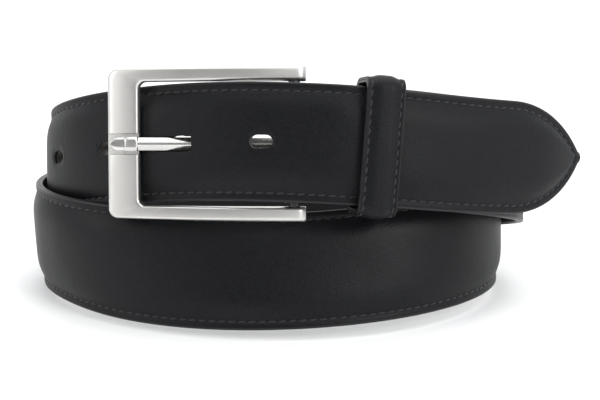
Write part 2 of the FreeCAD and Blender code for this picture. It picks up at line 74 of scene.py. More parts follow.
U_BAR, U_FRONT_BAR, U_KEEPER = 0.165, -0.577, 0.49
BAR_RADIUS, FOLD_CLEARANCE = 1.75, 0.30
FRONT_BAR_STANDOFF, FRAME_OPENING, FRAME_HEIGHT = 5.35, 37.2, 46.4
FRAME_OPENING_AT_FRONT, FRAME_HEIGHT_AT_FRONT = 36.8, 44.6
FRAME_THICKNESS, FRAME_BOW, FRAME_DROP = 3.2, 2.6, 0.45
FRONT_BAR_WIDTH, ARM_OVERHANG = 9.8, 3.4
RECESS_WIDTH, RECESS_DEPTH, REST_GAP = 6.2, 0.9, 0.2
PRONG_WIDTH, PRONG_THICKNESS = 4.0, 2.6
KEEPER_WIDTH, KEEPER_INSIDE = 11.5, (-3.9, 7.1)
KEEPER_CORNER, KEEPER_HALF_HEIGHT = 2.0, 18.6
FULL = 4.0 * math.pi

# ---- what only the visible model has ----
STITCH_PITCH = 3.05
STITCH_LENGTH = 2.45
THREAD_HALF_WIDTH = 0.29
THREAD_HALF_HEIGHT = 0.21
CHANNEL_DEPTH = 0.26         # the groove that the seam lies in
CHANNEL_HALF_WIDTH = 0.42
LIP_HEIGHT = 0.07            # the bead between seam and edge
RIM_PRESSED = 0.34           # leather pushed in by the hole punch
RIM_SWELL = 0.06
CREASE_HEIGHT = 0.035
TIP_ROUND = 1.3              # length of the rounding at the tip's very point
CROWN_START, CROWN_FULL = 3.0, 16.0
LIFTED_STRETCH = 190.0       # last part of the strap, with closer stations
POINT_STRETCH = 6.0
FLAP_GAP = 0.2
SKIVE_LENGTH, SKIVE_DEPTH = 9.0, 0.55
ROCK_AND_LIFT = math.radians(3.0)
PASSAGE_START, PASSAGE_CLEARANCE = 10.0, 0.25
SLOT_HALF_WIDTH = 3.1
PRONG_BORE_CLEARANCE, PRONG_RING_WALL, PRONG_RING_HALF_WIDTH = 0.08, 1.3, 2.6
KEEPER_BASE, KEEPER_SKIN = 0.8, 0.9
KEEPER_SEAM_MARGIN = 1.3
SMOOTH_BELOW = 38.0          # degrees


# ---- small vector helpers on arrays of points ----
def unit(v):
    return v / np.linalg.norm(v, axis=-1, keepdims=True)


def smooth(value):
    t = np.clip(value, 0.0, 1.0)
    return t * t * (3.0 - 2.0 * t)


def world(points):
    """Coil frame in mm to the row frame in metres."""
    p = np.asarray(points, float)
    c, s = math.cos(STANDING_TILT), math.sin(STANDING_TILT)
    turned = np.stack((p[..., 0], p[..., 1] * c - p[..., 2] * s, p[..., 1] * s + p[..., 2] * c), -1)
    return (turned + ORIGIN_SHIFT) * 0.001


# ---- the strap's path ----
def coil_point(u):
    u = np.asarray(u, float)
    r = PASS_OFFSET * np.sin(u / 2.0 + PASS_PHASE)
    wide = np.sin(u) - SIDE_FLATTENING * np.sin(3.0 * u) - SKEW_WIDTH * np.cos(2.0 * u)
    deep = np.cos(u) - FRONT_FLATTENING * np.cos(3.0 * u) + SKEW_DEPTH * np.sin(2.0 * u)
    rise = TURN_RISE * np.cos((u + RISE_PHASE) / 2.0) + TURN_RISE_THIRD * np.cos(1.5 * (u + RISE_PHASE))
    return np.stack(((COIL_HALF_WIDTH + r) * wide, -(COIL_HALF_DEPTH + r) * deep, rise), -1)


def lean_at(u):
    dent = np.exp(-((u - 2.0 * math.pi - 0.20) / 0.70) ** 2)
    shoulder = np.exp(-((u - 2.0 * math.pi + 1.05) / 0.45) ** 2)
    return SHOULDER_LEAN * shoulder - FRONT_DENT_LEAN * dent


def axes_from(point_at, u, lean):
    run = unit(point_at(u + 0.001) - point_at(u - 0.001))
    up = unit(np.array((0.0, 0.0, 1.0)) - run * run[..., 2:3])
    out = np.cross(run, up)
    c, s = np.cos(lean)[..., None], np.sin(lean)[..., None]
    return run, up * c + out * s, out * c - up * s


def tip_lift(u):
    over_bar = LIFT_OVER_BAR * smooth((u - FULL + 0.75) / 0.90)
    over_crown = LIFT_OVER_CROWN * smooth((u - FULL - U_BAR + 0.02) / 0.22)
    return over_bar + over_crown


def lifted_point(u):
    u = np.asarray(u, float)
    out = axes_from(coil_point, u, lean_at(u))[2]
    return coil_point(u) + out * tip_lift(u)[..., None]


LEAVE = np.array(FULL + U_LEAVE)
LEAVE_RUN, _, LEAVE_OUT = axes_from(lifted_point, LEAVE, np.array(0.0))
LEAVE_POINT = lifted_point(LEAVE)
LEAVE_SPEED = np.linalg.norm(lifted_point(LEAVE + 0.001) - LEAVE_POINT) / 0.001
U_END = float(LEAVE + TAIL_LENGTH / LEAVE_SPEED)


def strap_point(u):
    u = np.asarray(u, float)
    s = (u - LEAVE) * LEAVE_SPEED
    turn = s / TAIL_RADIUS
    slope = LEAVE_RUN[2] + (TAIL_END_SLOPE - LEAVE_RUN[2]) * s / (2.0 * TAIL_LENGTH)
    flat = unit(LEAVE_RUN * (1.0, 1.0, 0.0))
    side = unit(LEAVE_OUT * (1.0, 1.0, 0.0))
    tail = LEAVE_POINT + flat * (TAIL_RADIUS * np.sin(turn))[..., None]
    tail = tail - side * (TAIL_RADIUS * (1.0 - np.cos(turn)))[..., None]
    tail = tail + np.array((0.0, 0.0, 1.0)) * (slope * s)[..., None]
    return np.where((u <= LEAVE)[..., None], lifted_point(u), tail)


def strap_axes(u):
    u = np.asarray(u, float)
    return axes_from(strap_point, u, lean_at(u))


U_TABLE = np.linspace(U_BAR - 0.3, U_END, 9000)
S_TABLE = np.concatenate(([0.0], np.cumsum(np.linalg.norm(np.diff(strap_point(U_TABLE), axis=0), axis=1))))
S_TABLE -= np.interp(U_BAR, U_TABLE, S_TABLE)
STRAP_LENGTH = float(S_TABLE[-1])


def along(u):
    """Distance along the strap from the cross bar, in mm."""
    return np.interp(u, U_TABLE, S_TABLE)


def at(s):
    """Turn angle at a distance along the strap."""
    return np.interp(s, S_TABLE, U_TABLE)


# ---- the strap's outline and section ----
TIP_ARCH = (TIP_LENGTH ** 2 + HALF ** 2) / (2.0 * HALF)


def half_width(s):
    """Half width: full, then the pointed arch of the tip with a small rounded end."""
    t = np.clip(STRAP_LENGTH - s, 0.0, TIP_LENGTH)

    def arch(x):
        return HALF - TIP_ARCH + np.sqrt(TIP_ARCH ** 2 - (TIP_LENGTH - x) ** 2)

    rounded = arch(np.array(TIP_ROUND)) * np.sqrt(np.clip(1.0 - ((TIP_ROUND - t) / TIP_ROUND) ** 2, 0.0, 1.0))
    return np.maximum(np.where(t > TIP_ROUND, arch(t), rounded), 0.05)


def outline_stretch(s):
    """How much longer the margin is across the strap than square to the outline."""
    t = np.clip(STRAP_LENGTH - s, 1.5, TIP_LENGTH)
    slope = (TIP_LENGTH - t) / np.sqrt(TIP_ARCH ** 2 - (TIP_LENGTH - t) ** 2)
    return np.sqrt(1.0 + slope ** 2)


def crown(s, w):
    """Rise of the padded middle over the sewn margin."""
    half = half_width(s)
    inside = np.maximum(half - SEAM_MARGIN * outline_stretch(s), 0.15)
    share = np.minimum(1.0, np.abs(w) / inside)
    near_bar = smooth((s - CROWN_START) / (CROWN_FULL - CROWN_START))
    near_tip = smooth((half - SEAM_MARGIN) / (HALF - SEAM_MARGIN))
    return CROWN_RISE * near_bar * near_tip * (1.0 - share ** 6) ** 2


HOLES_AT = float(along(FULL + U_BAR)) - FIRST_HOLE_BEFORE_BAR - HOLE_SPACING * np.arange(HOLE_COUNT)


def hole_distance(s, w):
    """Distance from the nearest punched hole's rim, in mm."""
    nearest = np.full(np.broadcast(s, w).shape, 99.0)
    for middle in HOLES_AT:
        straight = (HOLE_LENGTH - HOLE_WIDTH) / 2.0
        dx = np.maximum(np.abs(s - middle) - straight, 0.0)
        nearest = np.minimum(nearest, np.hypot(dx, w) - HOLE_WIDTH / 2.0)
    return nearest


def face_height(s, w):
    """Height of the finished face over the margin's level."""
    half = half_width(s)
    inset = (half - np.abs(w)) / outline_stretch(s)
    plain = smooth((s - 0.8) / 3.0)
    channel = CHANNEL_DEPTH * np.exp(-((inset - SEAM_MARGIN) / CHANNEL_HALF_WIDTH) ** 2) * plain
    lip = LIP_HEIGHT * np.exp(-((inset - SEAM_MARGIN + 1.25) / 0.8) ** 2) * plain
    rim = hole_distance(s, w)
    pressed = RIM_PRESSED * np.exp(-(np.maximum(rim, 0.0) / 0.55) ** 2)
    swell = RIM_SWELL * np.exp(-((rim - 1.25) / 0.5) ** 2)
    crease = CREASE_HEIGHT * np.sin(s * 0.043 + 0.8) * np.sin(w * 0.21 + s * 0.011)
    return crown(s, w) + lip - channel - pressed + swell + crease * plain * np.minimum(1.0, inset / 4.0)


# ---- mesh making ----
def shade(mesh):
    mesh.polygons.foreach_set("use_smooth", [True] * len(mesh.polygons))
    mesh.set_sharp_from_angle(angle=math.radians(SMOOTH_BELOW))


def mesh_object(name, points, faces, material_of=None, materials=()):
    """Object from mm points in the coil frame."""
    mesh = bpy.data.meshes.new(name)
    for material in materials:
        mesh.materials.append(material)
    mesh.from_pydata(world(points).tolist(), [], [list(map(int, f)) for f in faces])
    if material_of is not None:
        mesh.polygons.foreach_set("material_index", np.asarray(material_of, dtype=np.int32))
    shade(mesh)
    mesh.update()
    obj = bpy.data.objects.new(name, mesh)
    bpy.context.scene.collection.objects.link(obj)
    return obj


def loft(rings, round_trip=False, column_material=None, cap_material=0):
    """Points, faces and face materials of a tube through rings of shape (stations, around, 3)."""
    n, m = rings.shape[:2]
    i = np.arange(n if round_trip else n - 1)[:, None]
    j = np.arange(m)[None, :]
    a, b = i * m + j, i * m + (j + 1) % m
    c, d = ((i + 1) % n) * m + (j + 1) % m, ((i + 1) % n) * m + j
    quads = np.stack((a, b, c, d), -1).reshape(-1, 4)
    columns = np.zeros(m, int) if column_material is None else np.asarray(column_material)
    materials = np.tile(columns, len(i)).tolist()
    points = rings.reshape(-1, 3)
    corner = points[quads]
    volume = np.einsum("ij,ij->i", corner[:, 0], np.cross(corner[:, 1], corner[:, 2])).sum()
    volume += np.einsum("ij,ij->i", corner[:, 0], np.cross(corner[:, 2], corner[:, 3])).sum()
    faces = quads.tolist()
    if not round_trip:
        faces += [list(range(m))[::-1], list(range((n - 1) * m, n * m))]
        materials += [cap_material, cap_material]
    if volume < 0:
        faces = [f[::-1] for f in faces]
    return points, faces, materials


def merged(parts):
    """Several (points, faces, materials) as one."""
    points, faces, materials, start = [], [], [], 0
    for p, f, m in parts:
        points.append(p)
        faces += [[k + start for k in face] for face in f]
        materials += list(m)
        start += len(p)
    return np.concatenate(points), faces, materials


def block(corners, low, high, axes, origin):
    """Closed prism: a polygon of (x, z) corners swept along local y."""
    x, y, z = axes
    rings = np.array([[origin + x * px + y * side + z * pz for px, pz in corners] for side in (low, high)])
    return loft(rings)


def boolean(obj, cutter_parts, operation="DIFFERENCE", cut_material=1):
    """Cut or join closed solids, and keep only the result. Cut faces take one of the piece's materials."""
    labels = [cut_material] * len(cutter_parts[1])
    tool = mesh_object("cutting_tool", cutter_parts[0], cutter_parts[1], material_of=labels)
    for material in obj.data.materials:
        tool.data.materials.append(material)
    change = obj.modifiers.new("change", "BOOLEAN")
    change.operation = operation
    change.object = tool
    change.solver = "MANIFOLD"
    bpy.context.view_layer.update()
    result = bpy.data.meshes.new_from_object(obj.evaluated_get(bpy.context.evaluated_depsgraph_get()))
    obj.modifiers.remove(change)
    old = obj.data
    obj.data = result
    bpy.data.meshes.remove(old)
    tool_mesh = tool.data
    bpy.data.objects.remove(tool)
    bpy.data.meshes.remove(tool_mesh)
    shade(obj.data)


# ---- the buckle's axes ----
BAR_RUN, BAR_UP, BAR_OUT = strap_axes(np.array(U_BAR))
BAR_SINK = EDGE_TOP - LEATHER - FOLD_CLEARANCE - BAR_RADIUS
BAR_CENTRE = coil_point(np.array(U_BAR)) + BAR_OUT * BAR_SINK - np.array((0.0, 0.0, FRAME_DROP))
FRONT_OUT = axes_from(coil_point, np.array(U_FRONT_BAR), np.array(0.0))[2]
FRONT_CENTRE = coil_point(np.array(U_FRONT_BAR)) + FRONT_OUT * FRONT_BAR_STANDOFF
FRONT_CENTRE[2] = BAR_CENTRE[2]
FRAME_REACH = float(np.linalg.norm(FRONT_CENTRE - BAR_CENTRE))
FRAME_LONG = unit(FRONT_CENTRE - BAR_CENTRE)
FRAME_UP = unit(np.cross(FRAME_LONG, BAR_OUT))
FRAME_OUT = np.cross(FRAME_UP, FRAME_LONG)
FRAME_LEFT = FRAME_REACH + FRONT_BAR_WIDTH / 2.0
OPENING_END = FRAME_REACH - FRONT_BAR_WIDTH / 2.0
FRAME_AXES = (FRAME_LONG, FRAME_UP, FRAME_OUT)

KEEPER_RUN, KEEPER_UP, KEEPER_OUT = axes_from(coil_point, np.array(U_KEEPER), np.array(0.0))
KEEPER_CENTRE = coil_point(np.array(U_KEEPER))


def in_frame(x, y, z):
    """Points given along the buckle frame's axes from its cross bar."""
    x, y, z = np.broadcast_arrays(x, y, z)
    return BAR_CENTRE + x[..., None] * FRAME_LONG + y[..., None] * FRAME_UP + z[..., None] * FRAME_OUT


def prong_rise(x):
    rest = FRAME_THICKNESS / 2.0 - RECESS_DEPTH + REST_GAP + PRONG_THICKNESS / 2.0
    return rest * x / OPENING_END


def frame_bow(x):
    t = x / FRAME_REACH
    return FRAME_BOW * 4.0 * t * (1.0 - t)


# ---- the outer leather: turned end, fold round the bar, then the whole strap ----
# Columns of the section, as insets from the edge. The outer ones keep their distance from the edge.
EDGE_STEPS = [(0.0, -0.42), (0.05, -0.22), (0.16, -0.09), (0.34, -0.02)]
MARGIN_STEPS = [0.6, 0.95, 1.35, 1.7, 1.95, 2.15, 2.35, 2.5, 2.65, 2.85, 3.1, 3.5, 4.0, 4.7, 5.6, 6.8]
MIDDLE_COLUMNS = 17
UNDER_STEPS = [0.5, 2.4, 4.5, 7.0]
UNDER_COLUMNS = 7


def inset_to_w(inset, half, stretch):
    """Height up the strap of a column set in from the edge, crowding together near the tip's point."""
    reach = inset * stretch
    return half * (1.0 - np.tanh(reach / half))


def section_columns(half, stretch):
    """(side, w, drop) of every column over the finished face, from the upper edge to the lower one."""
    upper = [(inset_to_w(i, half, 1.0), drop) for i, drop in EDGE_STEPS]
    upper += [(inset_to_w(i, half, stretch), 0.0) for i in MARGIN_STEPS]
    last = upper[-1][0]
    shares = np.linspace(1.0, -1.0, MIDDLE_COLUMNS + 2)[1:-1]
    middle = [(last * k, 0.0) for k in shares]
    lower = [(-w, drop) for w, drop in reversed(upper)]
    return upper + middle + lower


def rings_from(columns, origins, ups, outs):
    """Rings of points from columns of (height up the strap, distance outward)."""
    w = np.stack([c[0] for c in columns], 1)
    n = np.stack([c[1] for c in columns], 1)
    return origins[:, None, :] + ups[:, None, :] * w[..., None] + outs[:, None, :] * n[..., None]


def strap_rings(origins, ups, outs, s, half, stretch, on_strap):
    """Rings of the outer leather. on_strap is 0 on the fold and turned end."""
    columns = []
    for w, drop in section_columns(half, stretch):
        columns.append((w, np.where(on_strap > 0, face_height(s, w), 0.0) + drop))
    down = [inset_to_w(i, half, stretch) for i in UNDER_STEPS]
    inner = [down[-1] * k for k in np.linspace(1.0, -1.0, UNDER_COLUMNS + 2)[1:-1]]
    edge = half * (1.0 - np.tanh(0.02 / half))
    edge_low = half * (1.0 - np.tanh(0.12 / half))
    columns.append((-edge, np.full_like(s, -LEATHER + 0.14)))
    columns.append((-edge_low, np.full_like(s, -LEATHER)))
    for w in [-d for d in down] + [-v for v in inner] + list(reversed(down)):
        columns.append((w, np.where(on_strap > 0, crown(s, w), 0.0) - LEATHER))
    columns.append((edge_low, np.full_like(s, -LEATHER)))
    columns.append((edge, np.full_like(s, -LEATHER + 0.14)))
    return rings_from(columns, origins, ups, outs)


def column_materials():
    """0 grained face, 1 painted edge, 2 flesh side."""
    upper = len(EDGE_STEPS) + len(MARGIN_STEPS)
    face = 2 * upper + MIDDLE_COLUMNS
    labels = [0] * (face - 1)
    for k in range(len(EDGE_STEPS)):
        labels[k] = 1
        labels[face - 2 - k] = 1
    under = 2 * len(UNDER_STEPS) + UNDER_COLUMNS
    labels += [1, 1] + [2] * (under + 1) + [1, 1]
    return labels


def strap_stations():
    """Distances of the sections from the bar, closer where the strap lifts and at the tip."""
    body = np.arange(0.65, STRAP_LENGTH - LIFTED_STRETCH, 0.75)
    end = np.arange(STRAP_LENGTH - LIFTED_STRETCH, STRAP_LENGTH - POINT_STRETCH, 0.42)
    tip = STRAP_LENGTH - POINT_STRETCH * (1.0 - np.sin(np.linspace(0.0, math.pi / 2.0, 26)))
    return np.concatenate((body, end, tip))


def flap_level(s):
    """Height of the turned end's inner side, from the fold to flat under the lining."""
    start = BAR_SINK - BAR_RADIUS - FOLD_CLEARANCE
    return start + (INNER_FACE - FLAP_GAP - start) * smooth((s - 1.8) / 11.2)


def turned_end_run():
    """Sections from the turned end's cut edge back to the bar."""
    s = np.arange(TURNED_END_LENGTH, 0.6, -0.8)
    u = at(s)
    _, up, out = strap_axes(u)
    origin = strap_point(u) + out * (flap_level(s) - LEATHER)[:, None]
    half = HALF - FLAP_INSET * smooth((s - 0.5) / 5.0)
    skive = SKIVE_DEPTH * smooth((s - TURNED_END_LENGTH + SKIVE_LENGTH) / SKIVE_LENGTH)
    return origin + out * skive[:, None], up, -out, s, half, np.full(len(s), 0.0)


def fold_run():
    """Sections round the bar, on the side of the front bar."""
    phi = np.linspace(math.pi, 0.0, 26)[1:-1]
    count = len(phi)
    side = unit(FRAME_LONG - BAR_OUT * np.dot(FRAME_LONG, BAR_OUT))
    radial = np.cos(phi)[:, None] * BAR_OUT + np.sin(phi)[:, None] * side
    origin = BAR_CENTRE + radial * (BAR_RADIUS + FOLD_CLEARANCE + LEATHER)
    ups = np.tile(FRAME_UP, (count, 1))
    return origin, ups, radial, np.zeros(count), np.full(count, HALF), np.full(count, 0.0)


def strap_run():
    """Sections of the strap itself, from the bar to the tip."""
    s = strap_stations()
    u = at(s)
    _, up, out = strap_axes(u)
    return strap_point(u) + out * EDGE_TOP, up, out, s, half_width(s), np.full(len(s), 1.0)


def outer_leather():
    """One tube: turned end, fold and strap."""
    runs = (turned_end_run(), fold_run(), strap_run())
    origins, ups, outs, s, half, on_strap = [np.concatenate(parts) for parts in zip(*runs)]
    stretch = np.where(on_strap > 0, outline_stretch(s), 1.0)
    rings = strap_rings(origins, ups, outs, s, half, stretch, on_strap)
    return loft(rings, column_material=column_materials(), cap_material=1)


def hole_cutters():
    """Oval punches through the strap at each hole."""
    straight = (HOLE_LENGTH - HOLE_WIDTH) / 2.0
    radius = HOLE_WIDTH / 2.0
    angles = np.linspace(-math.pi / 2.0, math.pi / 2.0, 15)
    oval = [(straight + radius * math.cos(a), radius * math.sin(a)) for a in angles]
    oval += [(-straight - radius * math.cos(a), -radius * math.sin(a)) for a in angles]
    parts = []
    for middle in HOLES_AT:
        u = np.array(at(middle))
        run, up, out = strap_axes(u)
        centre = strap_point(u)
        rings = [[centre + run * x + up * y + out * n for x, y in oval] for n in (-4.0, 4.0)]
        parts.append(loft(np.array(rings)))
    return parts


def passage_cutters():
    """The prong's slanted way out through the strap, and the slot for its ring in the fold."""
    lift = math.tan(ROCK_AND_LIFT)
    half_height = PRONG_THICKNESS / 2.0 + PASSAGE_CLEARANCE
    start, end = PASSAGE_START, FRAME_LEFT + 4.0
    corners = [(start, prong_rise(start) - half_height), (end, prong_rise(end) - half_height),
               (end, prong_rise(end) + half_height + end * lift),
               (start, prong_rise(start) + half_height + start * lift)]
    half = PRONG_WIDTH / 2.0 + PASSAGE_CLEARANCE
    way_out = block(corners, -half, half, FRAME_AXES, BAR_CENTRE)
    over_face = EDGE_TOP - BAR_SINK + 0.9
    corners = [(-8.0, -9.0), (7.5, -9.0), (7.5, over_face), (-8.0, over_face)]
    slot = block(corners, -SLOT_HALF_WIDTH, SLOT_HALF_WIDTH, (BAR_RUN, BAR_UP, BAR_OUT), BAR_CENTRE)
    return way_out, slot


def lining_layer():
    """Inner leather of the strap, flush with the outer one at the painted edge."""
    s = strap_stations()
    s = s[s > 5.0]
    _, up, out = strap_axes(at(s))
    half = half_width(s)
    stretch = outline_stretch(s)
    top = EDGE_TOP - LEATHER - 0.045
    steps = [(0.14, top), (0.04, top - 0.12), (0.0, top - 0.4), (0.03, INNER_FACE + 0.34),
             (0.15, INNER_FACE + 0.12), (0.36, INNER_FACE + 0.02)]
    columns = [(inset_to_w(i, half, 1.0), np.full_like(s, n)) for i, n in steps]
    for inset in (0.9, 1.8, 2.3, 2.6, 3.0, 4.5):
        w = inset_to_w(inset, half, stretch)
        groove = 0.13 * np.exp(-((inset - SEAM_MARGIN) / 0.35) ** 2)
        columns.append((w, np.full_like(s, INNER_FACE + groove)))
    last = columns[-1][0]
    middle = [(last * k, np.full_like(s, INNER_FACE)) for k in np.linspace(1.0, -1.0, 9)[1:-1]]
    columns = columns + middle + [(-w, n) for w, n in reversed(columns)]
    for inset in (1.5, 6.0):
        columns.append((-inset_to_w(inset, half, stretch), np.full_like(s, top)))
    for inset in (6.0, 1.5):
        columns.append((inset_to_w(inset, half, stretch), np.full_like(s, top)))
    hidden = 5
    edge = [1] * len(steps)
    labels = edge + [0] * (len(columns) - 2 * len(steps) - hidden) + edge + [0] * hidden
    return loft(rings_from(columns, strap_point(at(s)), up, out), column_material=labels, cap_material=1)


# ---- thread ----
def lengths_along(path):
    """Distance of each point of a path from its start."""
    return np.concatenate(([0.0], np.cumsum(np.linalg.norm(np.diff(path, axis=0), axis=1))))


def picked(distance, length, values):
    """Points or directions read off at distances along a path."""
    return np.stack([np.interp(distance, length, values[:, k]) for k in range(3)], -1)


def stitches(place_at, length, pitch, stitch=STITCH_LENGTH, slant=0.10, first=0.8, seed=3):
    """Row of single stitches. place_at(distance) gives position, side and normal arrays."""
    rng = np.random.default_rng(seed)
    middles = np.arange(first + stitch / 2.0, length - stitch / 2.0, pitch)
    middles = middles + rng.normal(0.0, 0.035, len(middles))
    steps = np.array((-1.0, -0.93, -0.78, -0.5, 0.0, 0.5, 0.78, 0.93, 1.0))
    half = stitch / 2.0
    t = middles[:, None] + steps[None, :] * half
    origin, side, normal = place_at(t.ravel())
    shape = (len(middles), len(steps), 3)
    origin, side, normal = origin.reshape(shape), side.reshape(shape), normal.reshape(shape)
    rise = THREAD_HALF_HEIGHT * 0.55 - 0.34 * np.abs(steps) ** 3.5
    rise = rise[None, :] + rng.normal(0.0, 0.012, (len(middles), 1))
    swing = (slant + rng.normal(0.0, 0.03, (len(middles), 1))) * steps[None, :] * half
    centre = origin + side * swing[..., None] + normal * rise[..., None]
    taper = np.sqrt(np.clip(1.0 - np.abs(steps) ** 5, 0.03, 1.0))
    around = np.linspace(0.0, 2.0 * math.pi, 9)[:-1]
    ring = (np.cos(around)[:, None] * THREAD_HALF_WIDTH, np.sin(around)[:, None] * THREAD_HALF_HEIGHT)
    points = centre[:, :, None, :]
    points = points + side[:, :, None, :] * (ring[0] * taper[None, :])[..., None].transpose(1, 0, 2)[None]
    points = points + normal[:, :, None, :] * (ring[1] * taper[None, :])[..., None].transpose(1, 0, 2)[None]
    count, n, m = points.shape[:3]
    one = loft(points[0])
    faces = np.array(one[1][:-2])
    caps = [one[1][-2], one[1][-1]]
    all_faces = []
    for k in range(count):
        all_faces += (faces + k * n * m).tolist()
        all_faces += [[i + k * n * m for i in cap] for cap in caps]
    return points.reshape(-1, 3), all_faces, [0] * len(all_faces)


def edge_seam(sign):
    """Places along one edge's seam, for stitches()."""
    near_tip = STRAP_LENGTH - 34.0
    s = np.concatenate((np.arange(1.4, near_tip, 1.0), np.arange(near_tip, STRAP_LENGTH, 0.1)))
    w = half_width(s) - SEAM_MARGIN * outline_stretch(s)
    keep = w > 0.05
    s, w = s[keep], w[keep] * sign
    _, up, out = strap_axes(at(s))
    level = EDGE_TOP + face_height(s, w)
    path = strap_point(at(s)) + up * w[:, None] + out * level[:, None]
    length = lengths_along(path)
    tangent = unit(np.gradient(path, axis=0))

    def place_at(d):
        normal = unit(picked(d, length, out))
        side = unit(np.cross(normal, picked(d, length, tangent)))
        return picked(d, length, path), side, normal

    return place_at, float(length[-1])


def cross_seam(distance, sign):
    """Places along a short seam across the strap."""
    w = sign * np.linspace(3.9, HALF - SEAM_MARGIN - 0.4, 60)
    s = np.full_like(w, distance)
    run, up, out = strap_axes(at(s))
    path = strap_point(at(s)) + up * w[:, None] + out * (EDGE_TOP + face_height(s, w))[:, None]
    length = lengths_along(path)

    def place_at(d):
        return picked(d, length, path), picked(d, length, run), unit(picked(d, length, out))

    return place_at, float(length[-1])


# ---- the buckle ----
def frame_outline():
    """Matching inner and outer points round the frame, from the upper arm's end to the lower arm's."""
    y_in, y_out = FRAME_OPENING_AT_FRONT / 2.0, FRAME_HEIGHT_AT_FRONT / 2.0
    wider_in, wider_out = FRAME_OPENING / 2.0 - y_in, FRAME_HEIGHT / 2.0 - y_out
    r_in, r_out = 2.2, 2.9
    x_in, x_out = OPENING_END - r_in, FRAME_LEFT - r_out
    ends = np.array((-ARM_OVERHANG, -ARM_OVERHANG + 0.12, -ARM_OVERHANG + 0.4, -ARM_OVERHANG + 0.9, -1.6))
    arm = np.concatenate((ends, np.linspace(-0.8, x_in, 60)))
    share = np.clip(arm / x_in, 0.0, 1.0)
    inner = [(x, y_in + wider_in * (1.0 - k)) for x, k in zip(arm, share)]
    outer = [(x * x_out / x_in if x > 0 else x, y_out + wider_out * (1.0 - k)) for x, k in zip(arm, share)]
    for a in np.linspace(0.0, math.pi / 2.0, 13)[1:]:
        inner.append((x_in + r_in * math.sin(a), y_in - r_in + r_in * math.cos(a)))
        outer.append((x_out + r_out * math.sin(a), y_out - r_out + r_out * math.cos(a)))
    edge = RECESS_WIDTH / 2.0
    near = [edge + d for d in (0.9, 0.45, 0.22, 0.12, 0.05, 0.0, -0.05, -0.12, -0.25, -0.6)]
    bar = np.concatenate((np.linspace(y_in - r_in, near[0], 18)[1:-1], near,
                          np.linspace(near[-1], 0.0, 6)[1:]))
    widen = (y_out - r_out - near[0]) / (y_in - r_in - near[0])
    for y in bar:
        inner.append((OPENING_END, y))
        outer.append((FRAME_LEFT, y if y <= near[0] else near[0] + (y - near[0]) * widen))
    inner, outer = np.array(inner), np.array(outer)
    flip = np.array((1.0, -1.0))
    return np.concatenate((inner, inner[-2::-1] * flip)), np.concatenate((outer, outer[-2::-1] * flip))


def frame_body():
    """The frame as one tube of rounded sections from arm end to arm end."""
    inner, outer = frame_outline()
    width = np.linalg.norm(outer - inner, axis=1)
    across = (outer - inner) / width[:, None]
    half = FRAME_THICKNESS / 2.0
    r_top, r_low = 1.15, 0.6
    columns = []
    for a in np.linspace(0.0, math.pi / 2.0, 6):
        columns.append(("in", r_top * (1.0 - math.sin(a)), half - r_top * (1.0 - math.cos(a))))
    columns = columns[::-1]
    columns += [("share", k, half) for k in (0.12, 0.3, 0.5, 0.7, 0.88)]
    columns += [("out", d, z) for _, d, z in columns[5::-1]]
    low = []
    for a in np.linspace(0.0, math.pi / 2.0, 4):
        low.append((r_low * (1.0 - math.cos(a)), -half + r_low * (1.0 - math.sin(a))))
    columns += [("out", d, z) for d, z in low]
    columns += [("share", 0.5, -half)]
    columns += [("in", d, z) for d, z in reversed(low)]
    y_mid = (inner[:, 1] + outer[:, 1]) / 2.0
    on_bar = smooth((inner[:, 0] - OPENING_END + 1.2) / 1.0)
    notch = smooth((RECESS_WIDTH / 2.0 + 0.1 - np.abs(y_mid)) / 0.2) * (inner[:, 0] > OPENING_END - 0.01)
    bevel = smooth((-2.2 - inner[:, 0]) / (ARM_OVERHANG - 2.2))
    rings = []
    for kind, value, z in columns:
        if kind == "in":
            offset = np.full_like(width, value)
        elif kind == "out":
            offset = width - value
        else:
            offset = r_top + (width - 2.0 * r_top) * value
        p = inner + across * offset[:, None]
        share = np.clip(offset / width, 0.0, 1.0)
        dome = 0.20 * (1.0 - (2.0 * share - 1.0) ** 2) * (z > 0)
        height = np.full_like(width, z) + dome * (1.0 - notch) * (0.6 + 0.4 * on_bar)
        floor = half - RECESS_DEPTH
        height = np.where(z > 0, height + (np.minimum(height, floor) - height) * notch, height)
        height = np.where(z > 0, height - 0.75 * bevel * (z / half), height)
        rings.append(np.stack((p[:, 0], p[:, 1], height + frame_bow(np.clip(p[:, 0], -4.0, FRAME_LEFT))), -1))
    rings = np.stack(rings, 1)
    shrink = np.ones(len(rings))
    shrink[0] = shrink[-1] = 0.90
    shrink[1] = shrink[-2] = 0.965
    middle = rings.mean(axis=1, keepdims=True)
    scaled = middle + (rings - middle) * shrink[:, None, None]
    scaled[..., 0] = rings[..., 0]
    points, faces, materials = loft(in_frame(scaled[..., 0], scaled[..., 1], scaled[..., 2]))
    stations, m = rings.shape[:2]
    in_notch = (notch[:-1] > 0.98) & (notch[1:] > 0.98)
    labels = np.zeros((stations - 1, m), int)
    labels[in_notch, :16] = 1
    return points, faces, labels.ravel().tolist() + [0, 0]


def prong_ring_section(x, half, low, shoulder, ridge, high):
    """Rounded six-sided section across the prong, from below round to the other side."""
    side = [(half - 0.35, low), (half - 0.08, low + 0.1), (half, low + 0.36), (half, shoulder - 0.14),
            (half - 0.07, shoulder + 0.05), (half - 0.2, shoulder + 0.16), (ridge + 0.14, high - 0.09),
            (ridge - 0.02, high - 0.015), (ridge * 0.5, high)]
    both = side + [(-y, z) for y, z in reversed(side)]
    y = np.array([p[0] for p in both])
    z = np.array([p[1] for p in both])
    return in_frame(np.full_like(y, x), y, z + prong_rise(x))


